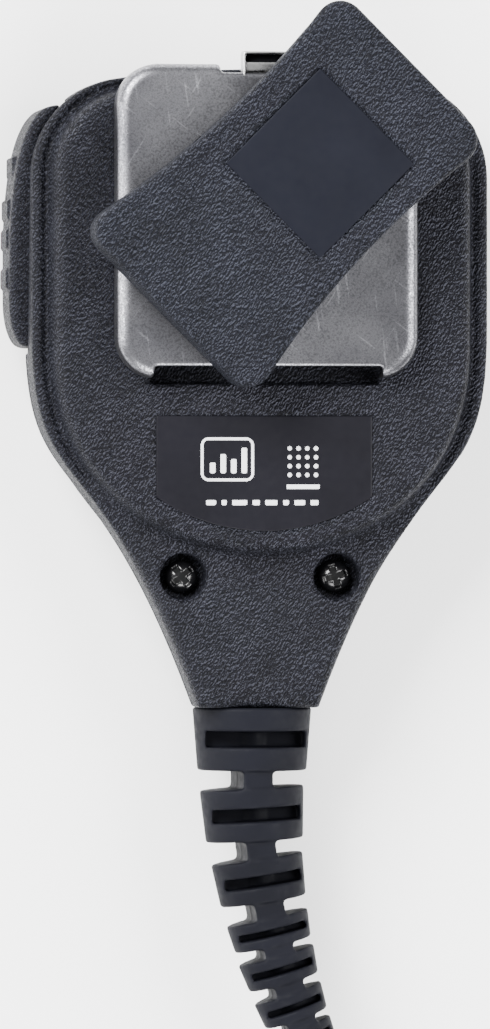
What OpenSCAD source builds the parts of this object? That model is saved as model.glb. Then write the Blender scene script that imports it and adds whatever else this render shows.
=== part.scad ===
// Hand microphone with a swivelling back clip, a side talk button and a curly cord.
// It lies on its speaker face at z = 0. +Y points to its top and +Z out of its back.

/* [Housing] */
// Greatest width of the housing
housing_w = 65.4; // [64.6:0.2:65.8]
// Depth from the speaker face to the raised back panel
housing_d = 24.5; // [24.2:0.1:24.8]
// Wall thickness of both shells
wall = 2; // [1.8:0.1:2.1]
// Height of the front shell's rim
seam_z = 12; // [11.8:0.1:12.2]
// Thickness of the gasket between the shells
gasket_t = 0.6; // [0.5:0.1:0.8]

/* [Talk button] */
// Length of the talk button
ptt_len = 35; // [33:0.5:36]
// Width of the talk button at its top end, front to back
ptt_wide = 13; // [12.6:0.2:13.4]
// Width of the talk button at its lower end
ptt_wide_low = 9.4; // [9:0.2:10]
// How far the talk button stands out of the side wall
ptt_proud = 2.6; // [2.4:0.1:2.8]
// Travel of the talk button
ptt_travel = 1.2; // [0.8:0.1:1.2]

/* [Clip] */
// Width of the steel back plate
plate_w = 43; // [42.4:0.2:43.4]
// Height of the steel back plate's face above the housing's back panel
plate_rise = 4.5; // [4.4:0.05:4.6]
// Sheet thickness of the steel plate
sheet_t = 0.8; // [0.6:0.1:0.9]
// Length of the clip arm from the swivel axis to its thumb end
thumb_len = 28.9; // [28:0.1:29]
// Length of the clip arm from the swivel axis to its jaw
jaw_len = 20.6; // [19.5:0.1:21]
// Mean half-width of the clip arm's two ends
arm_half = 16.3; // [15.8:0.1:16.4]
// How much narrower than that its thumb end is, and how much wider its jaw
arm_taper = 0.9; // [0:0.1:0.9]
// How far each long side of the clip arm curves in at its waist
arm_waist = 2.5; // [2:0.1:2.6]

/* [Cord] */
// Diameter of the cable
cable_d = 4; // [3.8:0.1:4.2]
// Outer diameter of the curly part of the cord
curl_d = 13; // [12.6:0.2:13]

/* [Hidden] */
$fn = 64;
half_w = housing_w / 2;
// Top edge, lowest point and neck of the housing
top_y = 21.3;
neck_y = -69.4;
neck_half = 8.7;
top_arc_r = 150;
corner_r = 14;
// The flank runs down from the side and flares into the neck
flank = [[half_w, -15.6], [half_w, -40.9], [23.3, -29.6], [neck_half, neck_y]];
// The front shell's sides lean in towards the speaker face, in steps
front_steps = [[0, 2.6], [1.2, 1.6], [4, 1.1], [7, 0.6], [9.6, 0]];
// Raised back panel: a shield that ends above the two screws
panel_half = half_w - 2.6;
panel_top = 19.7;
panel_low = -47.7;
panel_corner = 12;
panel_edge = [[panel_half, -18.5], [panel_half, -38.5], [14, panel_low], [0, panel_low]];
// Levels of the back
rear_z = seam_z + gasket_t;
side_top = 19.5;
step_top = 20.8;
step_in = 0.8;
roof_z = 21;
// Talk button: its ends, its front edge, its seal and the face that presses on the seal
ptt_ends = [-1 - ptt_len / 2, -1 + ptt_len / 2];
ptt_front_z = seam_z - 6.5;
seal_x = -half_w + wall + front_steps[3][1] + 0.3;
seal_t = 0.7;
button_in = seal_x - ptt_travel - 0.2;
// Slopes of the neck, on its back and on its front
neck_back_z = 20;
neck_front_z = 2.8;
slope_from_y = -45;
cord_z = 11.4;
// Hollow under the steel plate, open below its lower edge
pocket_z = housing_d - 2;
pocket_half = 16.4;
pocket_low = -23.4;
plate_top = housing_d + plate_rise;
plate_y = [-22.8, 21.6];
plate_r = 6;
// Screws of the rear cover
screw_x = 11;
screw_y = -50.7;
screw_seat = 16.6;
counterbore_r = 3.3;
// Board and its posts
board_z = 14.6;
board_t = 1.2;
posts = [[-19, 8], [19, 8], [-17, -28], [13, -31]];
// Jack in the lower right flank: its place and the flank's slant there
jack_at = [31.23, -28.4, 11.4];
jack_turn = -19;
jack_r = 1.75;
jack_len = 12;
cover_half = 6.4;
cover_pin_x = -0.48;
cover_wide = 9;
// Speaker
speaker_r = 18;
// Clip: it is stored turned to point to the upper right
clip_turn = 45;
arm_v = 1.1;
inlay_at = [9.55, 0.8];
inlay_w = 19.4;
arm_top = plate_top + 7.4;
arm_sheet = 2.2;
pivot_z = plate_top + 2.95;
pivot_r = 1;
fit = 0.05;
// Strain relief: straight out of the neck, then an arc towards +X
boot_straight = 9.5;
boot_bend_r = 98;
// Each ring of the strain relief: start, end, first and last diameter
rings = [
    [0, 9, 17, 15.6], [11.5, 19, 14.9, 13.9], [21.6, 27.8, 13.2, 12.3], [30.2, 34.2, 11.9, 11.1],
    [35.7, 39.8, 11.2, 10.2], [41.4, 45.3, 10.1, 9.3], [46.6, 50.2, 9.2, 8.5], [51.4, 54.8, 8.1, 7.5]
];
boot_core_r = 2.2;
// Cord routes: from the strain relief to the curls, and from the curls to the plug
lead_route = [
    [10.28, -122.6, 11.4], [12.51, -127.08, 11.4], [15.3, -133.3, 10.2], [17.4, -140, 7.6], [18.5, -147, 5],
    [18.8, -154, 3], [18.6, -161, 2.6], [18, -167, 4], [17.7, -172.5, 6.4], [17.6, -176, 7.2],
    [17.6, -178, 7.2]
];
tail_route = [
    [3.4, -178, 7.2], [3.4, -176, 7.2], [3.3, -172.5, 6.4], [3, -167, 4], [1.6, -160.5, 2.4], [-2, -154, 2.1],
    [-8, -150.5, 2.1], [-14.5, -152, 2.1], [-19, -157, 2.1], [-21.5, -163.5, 2.4], [-22.9, -171, 3.4],
    [-23.5, -177, 4.7], [-23.6, -181, 5.2], [-23.6, -184, 5.2]
];
inner_route = [[0, -64.1, 11.4], [0, -58, 11.4], [0, -50, 11.4], [0, -44, 11.6], [0, -38, 12]];
// One side of the folded curls; the other side mirrors it about fold_x
fold_side = [
    [17.6, -178, 7.2], [17.6, -191, 7.2], [17.6, -204, 7.2], [17.6, -217, 7.2], [18.6, -230, 7.2],
    [20.8, -242, 7.2], [22.3, -253, 7.2]
];
fold_x = 10.5;
fold_y = -264;
fold_r = 12;
curl_z = 7.2;
tie_y = -204;
tie_w = 10;
tie_t = 0.5;
// Plug
plug_x = -23.6;
plug_z = 5.2;
plug_y = -198;
plug_len = 20;
pin_gap = 11.4;

// Curves and outlines
function bezier(p, n) = [
    for (i = [0:n])
        let (t = i / n, s = 1 - t)
            s * s * s * p[0] + 3 * s * s * t * p[1] + 3 * s * t * t * p[2] + t * t * t * p[3]
];
function arc(c, r, from, to, n) = [
    for (i = [0:n]) let (a = from + (to - from) * i / n) [c[0] + r * cos(a), c[1] + r * sin(a)]
];
function both_sides(half) = concat(half, [
    for (i = [len(half) - 1:-1:0]) if (half[i][0] > 0.01) [-half[i][0], half[i][1]]
]);
// Half of a shield's top: a wide arc that runs smoothly into its corner
function shield_top(w, top, r) =
    let (
        across = w - r,
        rise = sqrt(pow(top_arc_r - r, 2) - across * across),
        meet = atan2(rise, across)
    )
        concat(
            arc([0, top - top_arc_r], top_arc_r, 90, meet, 4),
            arc([across, top - top_arc_r + rise], r, meet, 0, 8)
        );

module housing_2d(inset = 0) {
    half = concat(shield_top(half_w, top_y, corner_r), bezier(flank, 14));
    offset(delta = -inset) polygon(both_sides(half));
}

module panel_2d(inset = 0) {
    half = concat(shield_top(panel_half, panel_top, panel_corner), bezier(panel_edge, 12));
    offset(delta = -inset) polygon(both_sides(half));
}

module slab(from, to) {
    translate([0, 0, from]) linear_extrude(to - from) children();
}

module rounded_2d(size, r) {
    offset(r = r) square([size[0] - 2 * r, size[1] - 2 * r], center = true);
}

// A round bar from one height to another
module rod(at, r, from, to) {
    translate([at[0], at[1], from]) cylinder(r = r, h = to - from);
}

// Space below the slope on the front of the neck
module below_neck() {
    drop = atan(neck_front_z / (slope_from_y - neck_y));
    translate([-20, slope_from_y, 0]) rotate([-drop, 0, 0]) translate([0, -40, -20]) cube([40, 40, 20]);
}

// Space above the slope on the back of the neck
module above_neck() {
    rise = atan((step_top - neck_back_z) / (panel_low - neck_y));
    translate([-20, panel_low, step_top]) rotate([rise, 0, 0]) translate([0, -40, 0]) cube([40, 40, 20]);
}

// The jack's own frame: X out of the flank, Y along it towards the top
module in_jack() {
    translate(jack_at) rotate([0, 0, jack_turn]) children();
}

module along_x(r, from, to) {
    translate([from, 0, 0]) rotate([0, 90, 0]) cylinder(r = r, h = to - from);
}

module along_y(r, from, to) {
    translate([0, to, 0]) rotate([90, 0, 0]) cylinder(r = r, h = to - from);
}

// A band along the talk button, as seen from the side: its back edge slants down to its lower end
module button_band(from, to, grow = 0) {
    low = ptt_ends[0] - grow;
    top = ptt_ends[1] + grow;
    front = ptt_front_z - grow;
    translate([from, 0, 0]) rotate([90, 0, 90]) linear_extrude(to - from) polygon([
        [low, front], [top, front], [top, ptt_front_z + ptt_wide + grow],
        [low, ptt_front_z + ptt_wide_low + grow]
    ]);
}

// Plan of the talk button's mouth: it steps in where the housing's corner curves
module button_mouth_2d() {
    mouth_in = seal_x + 0.1;
    polygon([
        [-half_w - 3, -30], [mouth_in, -30], [mouth_in, 11], [mouth_in + 3.2, 17], [mouth_in + 3.2, 30],
        [-half_w - 3, 30]
    ]);
}

// The openings that both shells share: talk button, jack and cord
module side_openings() {
    gap = 0.4;
    intersection() {
        button_band(-half_w - 3, -half_w + 8, gap);
        slab(0, 30) button_mouth_2d();
    }
    in_jack() {
        along_x(3.3, -6, 2);
        translate([-1.1, -cover_half - 0.4, -cover_wide / 2 - 0.4])
            cube([4, 2 * cover_half + 0.8, cover_wide + 0.8]);
    }
    translate([0, 0, cord_z]) along_y(5.2, neck_y - 1, neck_y + wall + 1.3);
}

module front_shell() color("#2a2c34") {
    last = len(front_steps) - 1;
    difference() {
        union() {
            difference() {
                for (i = [0:last])
                    slab(front_steps[i][0], i < last ? front_steps[i + 1][0] : seam_z)
                        housing_2d(front_steps[i][1]);
                slab(wall, 7) housing_2d(wall + front_steps[2][1]);
                slab(6.9, seam_z + 1) housing_2d(wall + front_steps[3][1]);
                below_neck();
            }
            // Floor of the sloping neck, bosses for the screws, speaker ring and cable saddle
            intersection() {
                slab(0, 5.2) housing_2d(front_steps[0][1]);
                translate([-20, neck_y, 0]) cube([40, slope_from_y - neck_y, 6]);
            }
            for (side = [-1, 1]) rod([side * screw_x, screw_y], 3.2, 2, seam_z);
            difference() {
                rod([0, 0], speaker_r + 1.8, 1, 4.4);
                rod([0, 0], speaker_r + 0.2, wall, 5);
            }
        }
        below_neck();
        for (side = [-1, 1]) rod([side * screw_x, screw_y], 1.3, 3.6, seam_z + 1);
        // Sound holes in rings around a solid middle, and the microphone's own hole
        for (ring = [1:4], i = [0:6 * ring - 1])
            rotate([0, 0, i * 60 / ring]) rod([1.2 + 3.2 * ring, 0], 0.95, -1, wall + 1);
        rod([0, -38], 0.8, -1, 6);
        rod([0, -38], 4.3, wall, 6);
        side_openings();
    }
}

module rear_cover() color("#2a2c34") {
    difference() {
        union() {
            difference() {
                union() {
                    slab(rear_z, side_top) housing_2d();
                    slab(side_top, step_top) housing_2d(step_in);
                    slab(step_top, housing_d) panel_2d();
                }
                slab(rear_z - 1, 17.6) housing_2d(wall);
                slab(17.5, roof_z) panel_2d(3.2);
            }
            for (side = [-1, 1]) rod([side * screw_x, screw_y], 4.4, rear_z, 18);
            for (p = posts) rod(p, 2.2, board_z + board_t, roof_z + 0.5);
        }
        above_neck();
        for (side = [-1, 1]) {
            rod([side * screw_x, screw_y], counterbore_r, screw_seat, 30);
            rod([side * screw_x, screw_y], 1.3, rear_z - 1, 20);
        }
        for (p = posts) rod(p, 0.85, board_z, 20.2);
        translate([-pocket_half, pocket_low, pocket_z]) cube([2 * pocket_half, 36, 5]);
        slab(housing_d - 0.45, 30) label_2d(0.15);
        side_openings();
    }
}

module shell_gasket() color("#141518") {
    slab(seam_z, rear_z) difference() {
        housing_2d(0.5);
        housing_2d(wall);
        intersection() {
            button_mouth_2d();
            translate([-half_w - 3, ptt_ends[0] - 0.4]) square([20, ptt_len + 0.8]);
        }
        translate([jack_at[0], jack_at[1]]) rotate(jack_turn)
            translate([-4, -cover_half - 0.4]) square([8, 2 * cover_half + 0.8]);
        translate([-5.2, neck_y - 1]) square([10.4, wall + 2]);
    }
}

module rear_screws() color("#101013") {
    head_r = 2.3;
    for (side = [-1, 1]) translate([side * screw_x, screw_y, screw_seat]) difference() {
        union() {
            cylinder(r = head_r, h = 1.2);
            translate([0, 0, 1.2]) cylinder(r1 = head_r, r2 = head_r - 0.8, h = 0.8);
            translate([0, 0, -12]) cylinder(r = 1.25, h = 12.1);
        }
        for (turn = [0, 90]) rotate([0, 0, turn + 20]) translate([-1.5, -0.3, 0.9]) cube([3, 0.6, 2]);
    }
}

module label_2d(grow = 0) {
    half = concat([[0, -27.9], [15.5, -27.9]], arc([0, -17.3], 27, -54.97, -90, 8));
    offset(delta = grow) polygon(both_sides(half));
}

module label_plate() color("#34363c") {
    slab(housing_d - 0.45, housing_d - 0.15) label_2d();
}

module grille_cloth() color("#1c1c1e") {
    rod([0, 0], speaker_r - 0.2, wall, wall + 0.15);
}

module speaker_frame() color("#8d8f92") {
    translate([0, 0, wall + 0.2]) rotate_extrude()
        polygon([
            [15.6, 0], [speaker_r, 0], [speaker_r, 1.6], [16.8, 1.6], [9.5, 5], [7.4, 5], [7.4, 4], [9, 4],
            [15.6, 1]
        ]);
}

module speaker_cone() color("#25211d") {
    translate([0, 0, wall + 0.3]) rotate_extrude()
        polygon([[0, 2.4], [5, 2.2], [7, 3.2], [15.4, 0.6], [15.4, 0.9], [7.2, 3.6], [0, 3.2]]);
}

module speaker_magnet() color("#b9bbbd") {
    rod([0, 0], 8, wall + 5.2, 11);
}

module mic_holder() color("#151517") {
    difference() {
        rod([0, -38], 4.2, wall, 6.4);
        rod([0, -38], 3.02, wall + 0.6, 7);
        rod([0, -38], 0.9, wall - 1, 7);
    }
}

module mic_capsule() color("#c9cacc") {
    rod([0, -38], 3, wall + 0.6, 5.4);
}

module circuit_board() color("#1f5a35") {
    slab(board_z, board_z + board_t) difference() {
        union() {
            translate([0, -8]) rounded_2d([50, 44], 3);
            translate([0, -32]) rounded_2d([34, 8], 2);
        }
        for (p = posts) translate(p) circle(r = 1.1);
    }
}

module board_chips() color("#1b1b1d") {
    top = board_z + board_t;
    for (x = [-10:5:10]) translate([x, -6, top]) cube([2, 1.25, 0.8]);
    for (x = [-7, 3]) translate([x, -20, top]) cube([6, 5, 1.6]);
    rod([8, 6], 2.5, top, top + 4.6);
    rod([-10, 6], 2.5, top, top + 4.6);
}

module board_screws() color("#9a9c9e") {
    for (p = posts) {
        rod(p, 1.7, board_z - 1.3, board_z);
        rod(p, 0.8, board_z - 0.1, 19.8);
    }
}

module ptt_switch() color("#232325") {
    body_x = -26;
    translate([body_x, -4, board_z - 5]) cube([5, 6, 5]);
    translate([0, -1, seam_z]) along_x(1.3, seal_x + seal_t + ptt_travel, body_x + 0.1);
}

module ptt_seal() color("#0f0f10") {
    translate([seal_x, ptt_ends[0] + 1, 7.1]) cube([seal_t, 26, 10.3]);
}

// Seen from the back, the button bows out and follows the housing's corner at its top end
module ptt_button() color("#24262d") {
    outer = -half_w - ptt_proud;
    low = ptt_ends[0];
    top = ptt_ends[1];
    rib_w = 2.9;
    intersection() {
        button_band(outer - 1, -half_w + 8);
        slab(0, 30) polygon(concat(
            [[button_in, low], [button_in, 10.5], [button_in + 3.2, top]],
            bezier([
                [outer + 7.1, top], [outer + 3.5, top - 0.3], [outer + 0.4, top - 3.5], [outer, top - 19.5]
            ], 8),
            arc([outer + 3, low + 3], 3, 180, 270, 5)
        ));
    }
    for (y = [7.5, 1.4, -2.8, -8.4])
        translate([outer - 0.4, y - rib_w / 2, ptt_front_z + 1.3]) cube([1.2, rib_w, 7.6]);
}

module earphone_jack() color("#1e1e20") {
    in_jack() difference() {
        union() {
            translate([-13.6, -3.4, -2.9]) cube([10.4, 6.8, 6.1]);
            along_x(2.9, -3.3, -1.1);
        }
        along_x(jack_r, -13, 1);
        along_x(2.1, -2.2, 1);
    }
}

// Turns about the pin at its lower end; its face follows the curve of the flank
module jack_cover() color("#202228") {
    pin_r = 0.42;
    pin_y = 0.7 - cover_half;
    proud = 0.7;
    in_jack() {
        translate([cover_pin_x, pin_y, -cover_wide / 2]) cylinder(r = pin_r, h = cover_wide);
        along_x(1.6, -1.7, -0.8);
        translate([-0.75, cover_half - 0.2, -1.5]) cube([0.8, 0.9, 3]);
    }
    intersection() {
        slab(0, 30) housing_2d(-proud);
        in_jack() translate([-0.9, pin_y, -cover_wide / 2]) cube([3, cover_half - 0.1 - pin_y, cover_wide]);
    }
}

module plate_2d(inset = 0) {
    translate([0, (plate_y[0] + plate_y[1]) / 2])
        rounded_2d([plate_w - 2 * inset, plate_y[1] - plate_y[0] - 2 * inset], plate_r - inset);
}

// Pressed tray with its flanges down; its lower edge is open between two hooked corners
module clip_plate() color("#a9abad") {
    mouth = 16.2;
    lip_y = -21;
    notch = 6.8;
    difference() {
        slab(housing_d, plate_top) plate_2d();
        slab(housing_d - 1, plate_top - sheet_t) plate_2d(sheet_t);
        translate([-mouth, plate_y[0] - 1, 0]) cube([2 * mouth, 6, plate_top - sheet_t]);
        translate([-mouth, plate_y[0] - 1, 0]) cube([2 * mouth, lip_y - plate_y[0] + 1, 40]);
        translate([-notch, plate_y[1] - 1.2, 0]) cube([2 * notch, 4, 40]);
        rod([0, 0], 2, 0, 40);
    }
}

module latch_tongue() color("#9d9fa1") {
    tongue_w = 7.4;
    z = plate_top - 2.4;
    translate([-tongue_w / 2, 6, z]) cube([tongue_w, 16.6, 0.6]);
    translate([-tongue_w / 2, 22.6, z]) cube([tongue_w, 0.8, 2.4]);
    translate([-tongue_w / 2, 6, pocket_z]) cube([tongue_w, 3, z - pocket_z]);
}

module swivel_washer() color("#d8d8d2") {
    difference() {
        rod([0, 0], 8, plate_top, plate_top + 0.4);
        rod([0, 0], 2, 0, 40);
    }
}

// The clip's own frame: X towards its thumb end
module in_clip() {
    rotate([0, 0, clip_turn]) children();
}

module swivel_base() color("#97999b") {
    disc_z = plate_top + 0.5;
    disc_top = plate_top + 1.6;
    ear_in = 7;
    ear_t = 1.6;
    in_clip() difference() {
        union() {
            rod([0, 0], 9.8, disc_z, disc_top);
            for (side = [-1, 1]) translate([0, arm_v + side * (ear_in + ear_t / 2), 0]) {
                translate([-2, -ear_t / 2, disc_z]) cube([4, ear_t, pivot_z - disc_z]);
                translate([0, 0, pivot_z]) along_y(2, -ear_t / 2, ear_t / 2);
            }
        }
        rod([0, 0], 1.95, 0, 40);
        translate([0, 0, pivot_z]) along_y(pivot_r, -12, 12);
    }
}

module swivel_rivet() color("#c2c4c6") {
    rod([0, 0], 1.92, plate_top - sheet_t - 0.2, plate_top + 2.2);
    rod([0, 0], 3.4, plate_top - sheet_t - 1.1, plate_top - sheet_t - 0.1);
    rod([0, 0], 2.8, plate_top + 2.1, plate_top + 2.8);
}

module clip_pins() color("#c2c4c6") {
    in_clip() translate([0, arm_v, pivot_z]) for (side = [-1, 1])
        along_y(pivot_r, side > 0 ? 6.6 : -13, side > 0 ? 13 : -6.6);
}

// Leaf spring: held under the rivet, it rises to the arm's underside
module clip_spring() color("#b0b2b4") {
    base = plate_top + 1.6;
    tip = arm_top - arm_sheet - 0.05;
    in_clip() difference() {
        rotate([90, 0, 0]) linear_extrude(7, center = true) polygon([
            [-4, base], [7, base], [14, tip - 0.9], [16, tip - 0.4], [16, tip], [14, tip - 0.4],
            [7, base + 0.5], [-4, base + 0.5]
        ]);
        rod([0, 0], 1.95, 0, 40);
    }
}

module arm_2d(inset = 0) {
    middle = (thumb_len - jaw_len) / 2;
    reach = (thumb_len + jaw_len) / 2;
    round_r = 3.6;
    side = [
        for (t = [1:-0.125:-1])
            [middle + reach * t, arm_half - arm_taper * t - arm_waist * (1 - t * t)]
    ];
    across = [for (i = [len(side) - 1:-1:0]) [side[i][0], -side[i][1]]];
    translate([0, arm_v]) offset(delta = -inset) offset(r = round_r) offset(delta = -round_r)
        polygon(concat(side, across));
}

module clip_arm() color("#3a3d46") {
    under = arm_top - arm_sheet;
    foot_z = plate_top + 0.5;
    in_clip() difference() {
        union() {
            slab(under, arm_top) arm_2d();
            // Skirt: deep at the jaw and the pivot, gone towards the thumb end
            intersection() {
                slab(foot_z, under + 0.1) difference() {
                    arm_2d();
                    translate([5, 0]) intersection() {
                        translate([-5, 0]) arm_2d(2);
                        square([39, 60], center = true);
                    }
                }
                rotate([90, 0, 0]) linear_extrude(60, center = true) polygon([
                    [-jaw_len - 1, foot_z], [-13, foot_z], [3, plate_top + 0.95], [12, plate_top + 2.8],
                    [22, under], [22, under + 1], [-jaw_len - 1, under + 1]
                ]);
            }
        }
        translate([0, 0, pivot_z]) along_y(pivot_r + fit, -20, 20);
        translate([inlay_at[0], inlay_at[1], arm_top]) cube([inlay_w, inlay_w, 0.9], center = true);
    }
}

module clip_inlay() color("#33363f") {
    in_clip() translate([inlay_at[0], inlay_at[1], arm_top - 0.3])
        cube([inlay_w - 0.2, inlay_w - 0.2, 0.3], center = true);
}

module clip_pad() color("#17181a") {
    in_clip() translate([-jaw_len + 1, arm_v - 11, plate_top + 0.15]) {
        cube([3.2, 22, 0.35]);
    }
}

// A place along the strain relief, with Y pointing back to the housing
module on_boot(s) {
    turn = max(0, (s - boot_straight) / boot_bend_r) * 180 / PI;
    x = boot_bend_r * (1 - cos(turn));
    y = neck_y - min(s, boot_straight) - boot_bend_r * sin(turn);
    translate([x, y, cord_z]) rotate([0, 0, turn]) children();
}

// Each ring has a window on its back and front and a gap on both sides after it
module strain_relief() color("#30323a") {
    web_w = 4.2;
    floor_half = 1.5;
    for (i = [0:len(rings) - 1]) {
        ring = rings[i];
        long = ring[1] - ring[0];
        slot = 0.26 * long;
        on_boot((ring[0] + ring[1]) / 2) {
            difference() {
                translate([0, long / 2, 0]) rotate([90, 0, 0])
                    cylinder(d1 = ring[2], d2 = ring[3], h = long);
                for (side = [-1, 1]) translate([0, 0, side * (floor_half + ring[2])])
                    cube([ring[3] - 1.4, slot, 2 * ring[2]], center = true);
            }
            along_y(boot_core_r, -slot, slot);
        }
        if (i > 0) {
            gap = ring[0] - rings[i - 1][1];
            on_boot((ring[0] + rings[i - 1][1]) / 2) {
                along_y(boot_core_r, -gap / 2 - 0.8, gap / 2 + 0.8);
                cube([web_w, gap + 0.8, ring[2] - 1], center = true);
            }
        }
    }
    // Throat through the neck's wall and the flange behind it
    translate([0, 0, cord_z]) {
        along_y(5.1, neck_y - 0.1, neck_y + wall + 1.5);
        along_y(6, neck_y + wall + 1.4, neck_y + wall + 3.2);
    }
}

module cable_clamp() color("#b3b5b7") {
    translate([0, -56, 0]) difference() {
        union() {
            translate([0, 0, cord_z]) along_y(3.4, -2, 2);
            translate([-3.4, -2, 5.2]) cube([6.8, 4, cord_z - 5.2]);
        }
        translate([0, 0, cord_z]) along_y(cable_d / 2 + fit, -3, 3);
    }
}

// A tube along a route that never runs straight up
function unit(v) = v / norm(v);
module tube(route, r, sides) {
    last = len(route) - 1;
    points = [
        for (i = [0:last])
            let (
                ahead = unit(route[min(i + 1, last)] - route[max(i - 1, 0)]),
                across = unit(cross(ahead, [0, 0, 1])),
                up = cross(across, ahead)
            )
            for (k = [0:sides - 1])
                let (a = (k + 0.5) * 360 / sides) route[i] + r * cos(a) * across + r * sin(a) * up
    ];
    walls = [
        for (i = [0:last - 1], k = [0:sides - 1])
            let (a = i * sides + k, b = i * sides + (k + 1) % sides)
            each [[a, a + sides, b + sides], [a, b + sides, b]]
    ];
    start = [for (k = [0:sides - 1]) k];
    end = [for (k = [sides - 1:-1:0]) last * sides + k];
    polyhedron(points = points, faces = concat([start], walls, [end]));
}

module inner_cable() color("#141416") {
    tube(inner_route, cable_d / 2, 12);
}

module inner_wires() {
    colors = ["#b02a24", "#d9d9d4", "#2a57a8", "#222222"];
    for (i = [0:3]) {
        x = (i - 1.5) * 1.1;
        color(colors[i]) tube([[x * 0.8, -37.6, 12], [x * 1.6, -34, 12.6], [x * 3, -30, 13.6]], 0.45, 8);
    }
}

module cord_lead() color("#1a1b1f") {
    tube(lead_route, cable_d / 2, 10);
}

module cord_curl() color("#1a1b1f") {
    across = [for (i = [len(fold_side) - 1:-1:0]) [2 * fold_x - fold_side[i][0], fold_side[i][1], curl_z]];
    bend = [for (p = arc([fold_x, fold_y], fold_r, 0, -180, 8)) [p[0], p[1], curl_z]];
    tube(concat(fold_side, bend, across), curl_d / 2, 12);
}

module stadium_2d(r, apart) {
    for (side = [-1, 1]) translate([side * apart / 2, 0]) circle(r = r);
    square([apart, 2 * r], center = true);
}

module cord_tie() color("#202024") {
    apart = 2 * (fold_side[0][0] - fold_x);
    inner_r = curl_d / 2 + 0.1;
    translate([fold_x, tie_y, curl_z]) rotate([90, 0, 0]) linear_extrude(tie_w, center = true) difference() {
        stadium_2d(inner_r + tie_t, apart);
        stadium_2d(inner_r, apart);
    }
}

module cord_tail() color("#1a1b1f") {
    tube(tail_route, cable_d / 2, 10);
}

module plug_relief() color("#1d1e22") {
    translate([plug_x, 0, plug_z]) {
        translate([0, -184, 0]) rotate([90, 0, 0]) cylinder(r1 = 2.9, r2 = 4.4, h = -184 - plug_y);
    }
}

module plug_body() color("#1d1e22") {
    translate([plug_x, plug_y - plug_len / 2, plug_z]) rotate([90, 0, 0])
        linear_extrude(plug_len, center = true) rounded_2d([23.4, 9.6], 3.6);
}

module jack_pin(x, r, long, color_name) {
    tip = 0.5 * r;
    color(color_name) translate([plug_x + x, plug_y - plug_len, plug_z]) {
        along_y(r, -long + 2.4, 0);
        translate([0, -long + 2.4, 0]) rotate([90, 0, 0]) cylinder(r1 = r * 0.72, r2 = r * 0.9, h = 1.4);
        translate([0, -long + 1, 0]) rotate([90, 0, 0]) cylinder(r1 = r * 0.9, r2 = tip, h = 1);
    }
}

module plug_pin_large() {
    jack_pin(-pin_gap / 2, 1.75, 14, "#d3b04e");
}

module plug_pin_small() {
    jack_pin(pin_gap / 2, 1.25, 11, "#d3b04e");
}

front_shell();
rear_cover();
shell_gasket();
rear_screws();
label_plate();
grille_cloth();
speaker_frame();
speaker_cone();
speaker_magnet();
mic_holder();
mic_capsule();
circuit_board();
board_chips();
board_screws();
ptt_switch();
ptt_seal();
ptt_button();
earphone_jack();
jack_cover();
clip_plate();
latch_tongue();
swivel_washer();
swivel_base();
swivel_rivet();
clip_pins();
clip_spring();
clip_arm();
clip_inlay();
clip_pad();
strain_relief();
cable_clamp();
inner_cable();
inner_wires();
cord_lead();
cord_curl();
cord_tie();
cord_tail();
plug_relief();
plug_body();
plug_pin_large();
plug_pin_small();
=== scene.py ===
"""Hand microphone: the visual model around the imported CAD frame.

Shapes are written in millimetres as distance fields, negative inside, and turned into
closed meshes by surface(). Everything else is in metres, in the CAD frame.
"""

import math

import bpy
import numpy as np
from mathutils import Matrix, Vector


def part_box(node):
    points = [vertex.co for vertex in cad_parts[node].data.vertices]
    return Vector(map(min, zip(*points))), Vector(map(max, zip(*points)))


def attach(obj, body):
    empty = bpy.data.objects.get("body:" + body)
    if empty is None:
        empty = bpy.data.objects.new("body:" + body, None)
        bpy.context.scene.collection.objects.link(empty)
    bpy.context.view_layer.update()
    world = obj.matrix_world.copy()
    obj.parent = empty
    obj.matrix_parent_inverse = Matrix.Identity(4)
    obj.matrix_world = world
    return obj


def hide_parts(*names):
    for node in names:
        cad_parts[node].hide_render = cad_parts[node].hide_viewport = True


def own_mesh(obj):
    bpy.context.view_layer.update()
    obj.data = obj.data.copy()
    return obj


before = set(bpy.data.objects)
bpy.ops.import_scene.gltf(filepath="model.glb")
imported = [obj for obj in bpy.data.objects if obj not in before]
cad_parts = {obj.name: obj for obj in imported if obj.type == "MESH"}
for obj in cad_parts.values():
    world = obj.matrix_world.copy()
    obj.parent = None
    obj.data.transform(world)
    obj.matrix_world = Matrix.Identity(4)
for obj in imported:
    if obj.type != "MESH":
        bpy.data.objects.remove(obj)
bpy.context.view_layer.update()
MM = 0.001


def box_mm(node):
    """A CAD node's lowest and highest corners, in millimetres."""
    low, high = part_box(node)
    return np.array(low) / MM, np.array(high) / MM


# ---------------------------------------------------------------- sizes, in millimetres
rear_low, rear_high = box_mm("rear_cover")
front_high = box_mm("front_shell")[1]
plate_low, plate_high = box_mm("clip_plate")

# The two shells: the deck is the rear cover's face around the raised panel
HALF_W = rear_high[0]
TOP_Y, NECK_Y = rear_high[1], rear_low[1]
BACK_Z = rear_high[2]
SEAM_Z, REAR_Z = front_high[2], rear_low[2]
DECK_Z, NECK_Z = 20.8, 20
WALL = 2.0
TOP_ARC_R = 150.0
PANEL_HALF, PANEL_TOP, PANEL_LOW = HALF_W - 2.6, 19.7, -47.7
POCKET_HALF, POCKET_Z = 16.4, BACK_Z - 2
LABEL_FLOOR, LABEL_FACE = BACK_Z - 0.45, BACK_Z - 0.15
SIDE_HEIGHTS = [0, 1.2, 4, 7, 9.6, 12]
SIDE_INSETS = [2.2, 1.8, 1.3, 0.7, 0.3, 0]
SCREW_X, SCREW_Y, SCREW_SEAT = 11.0, -50.7, 16.6
PILOT_R = 1.3
JACK_AT, JACK_TURN = (31.23, -28.4, 11.4), -19.0

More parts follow.
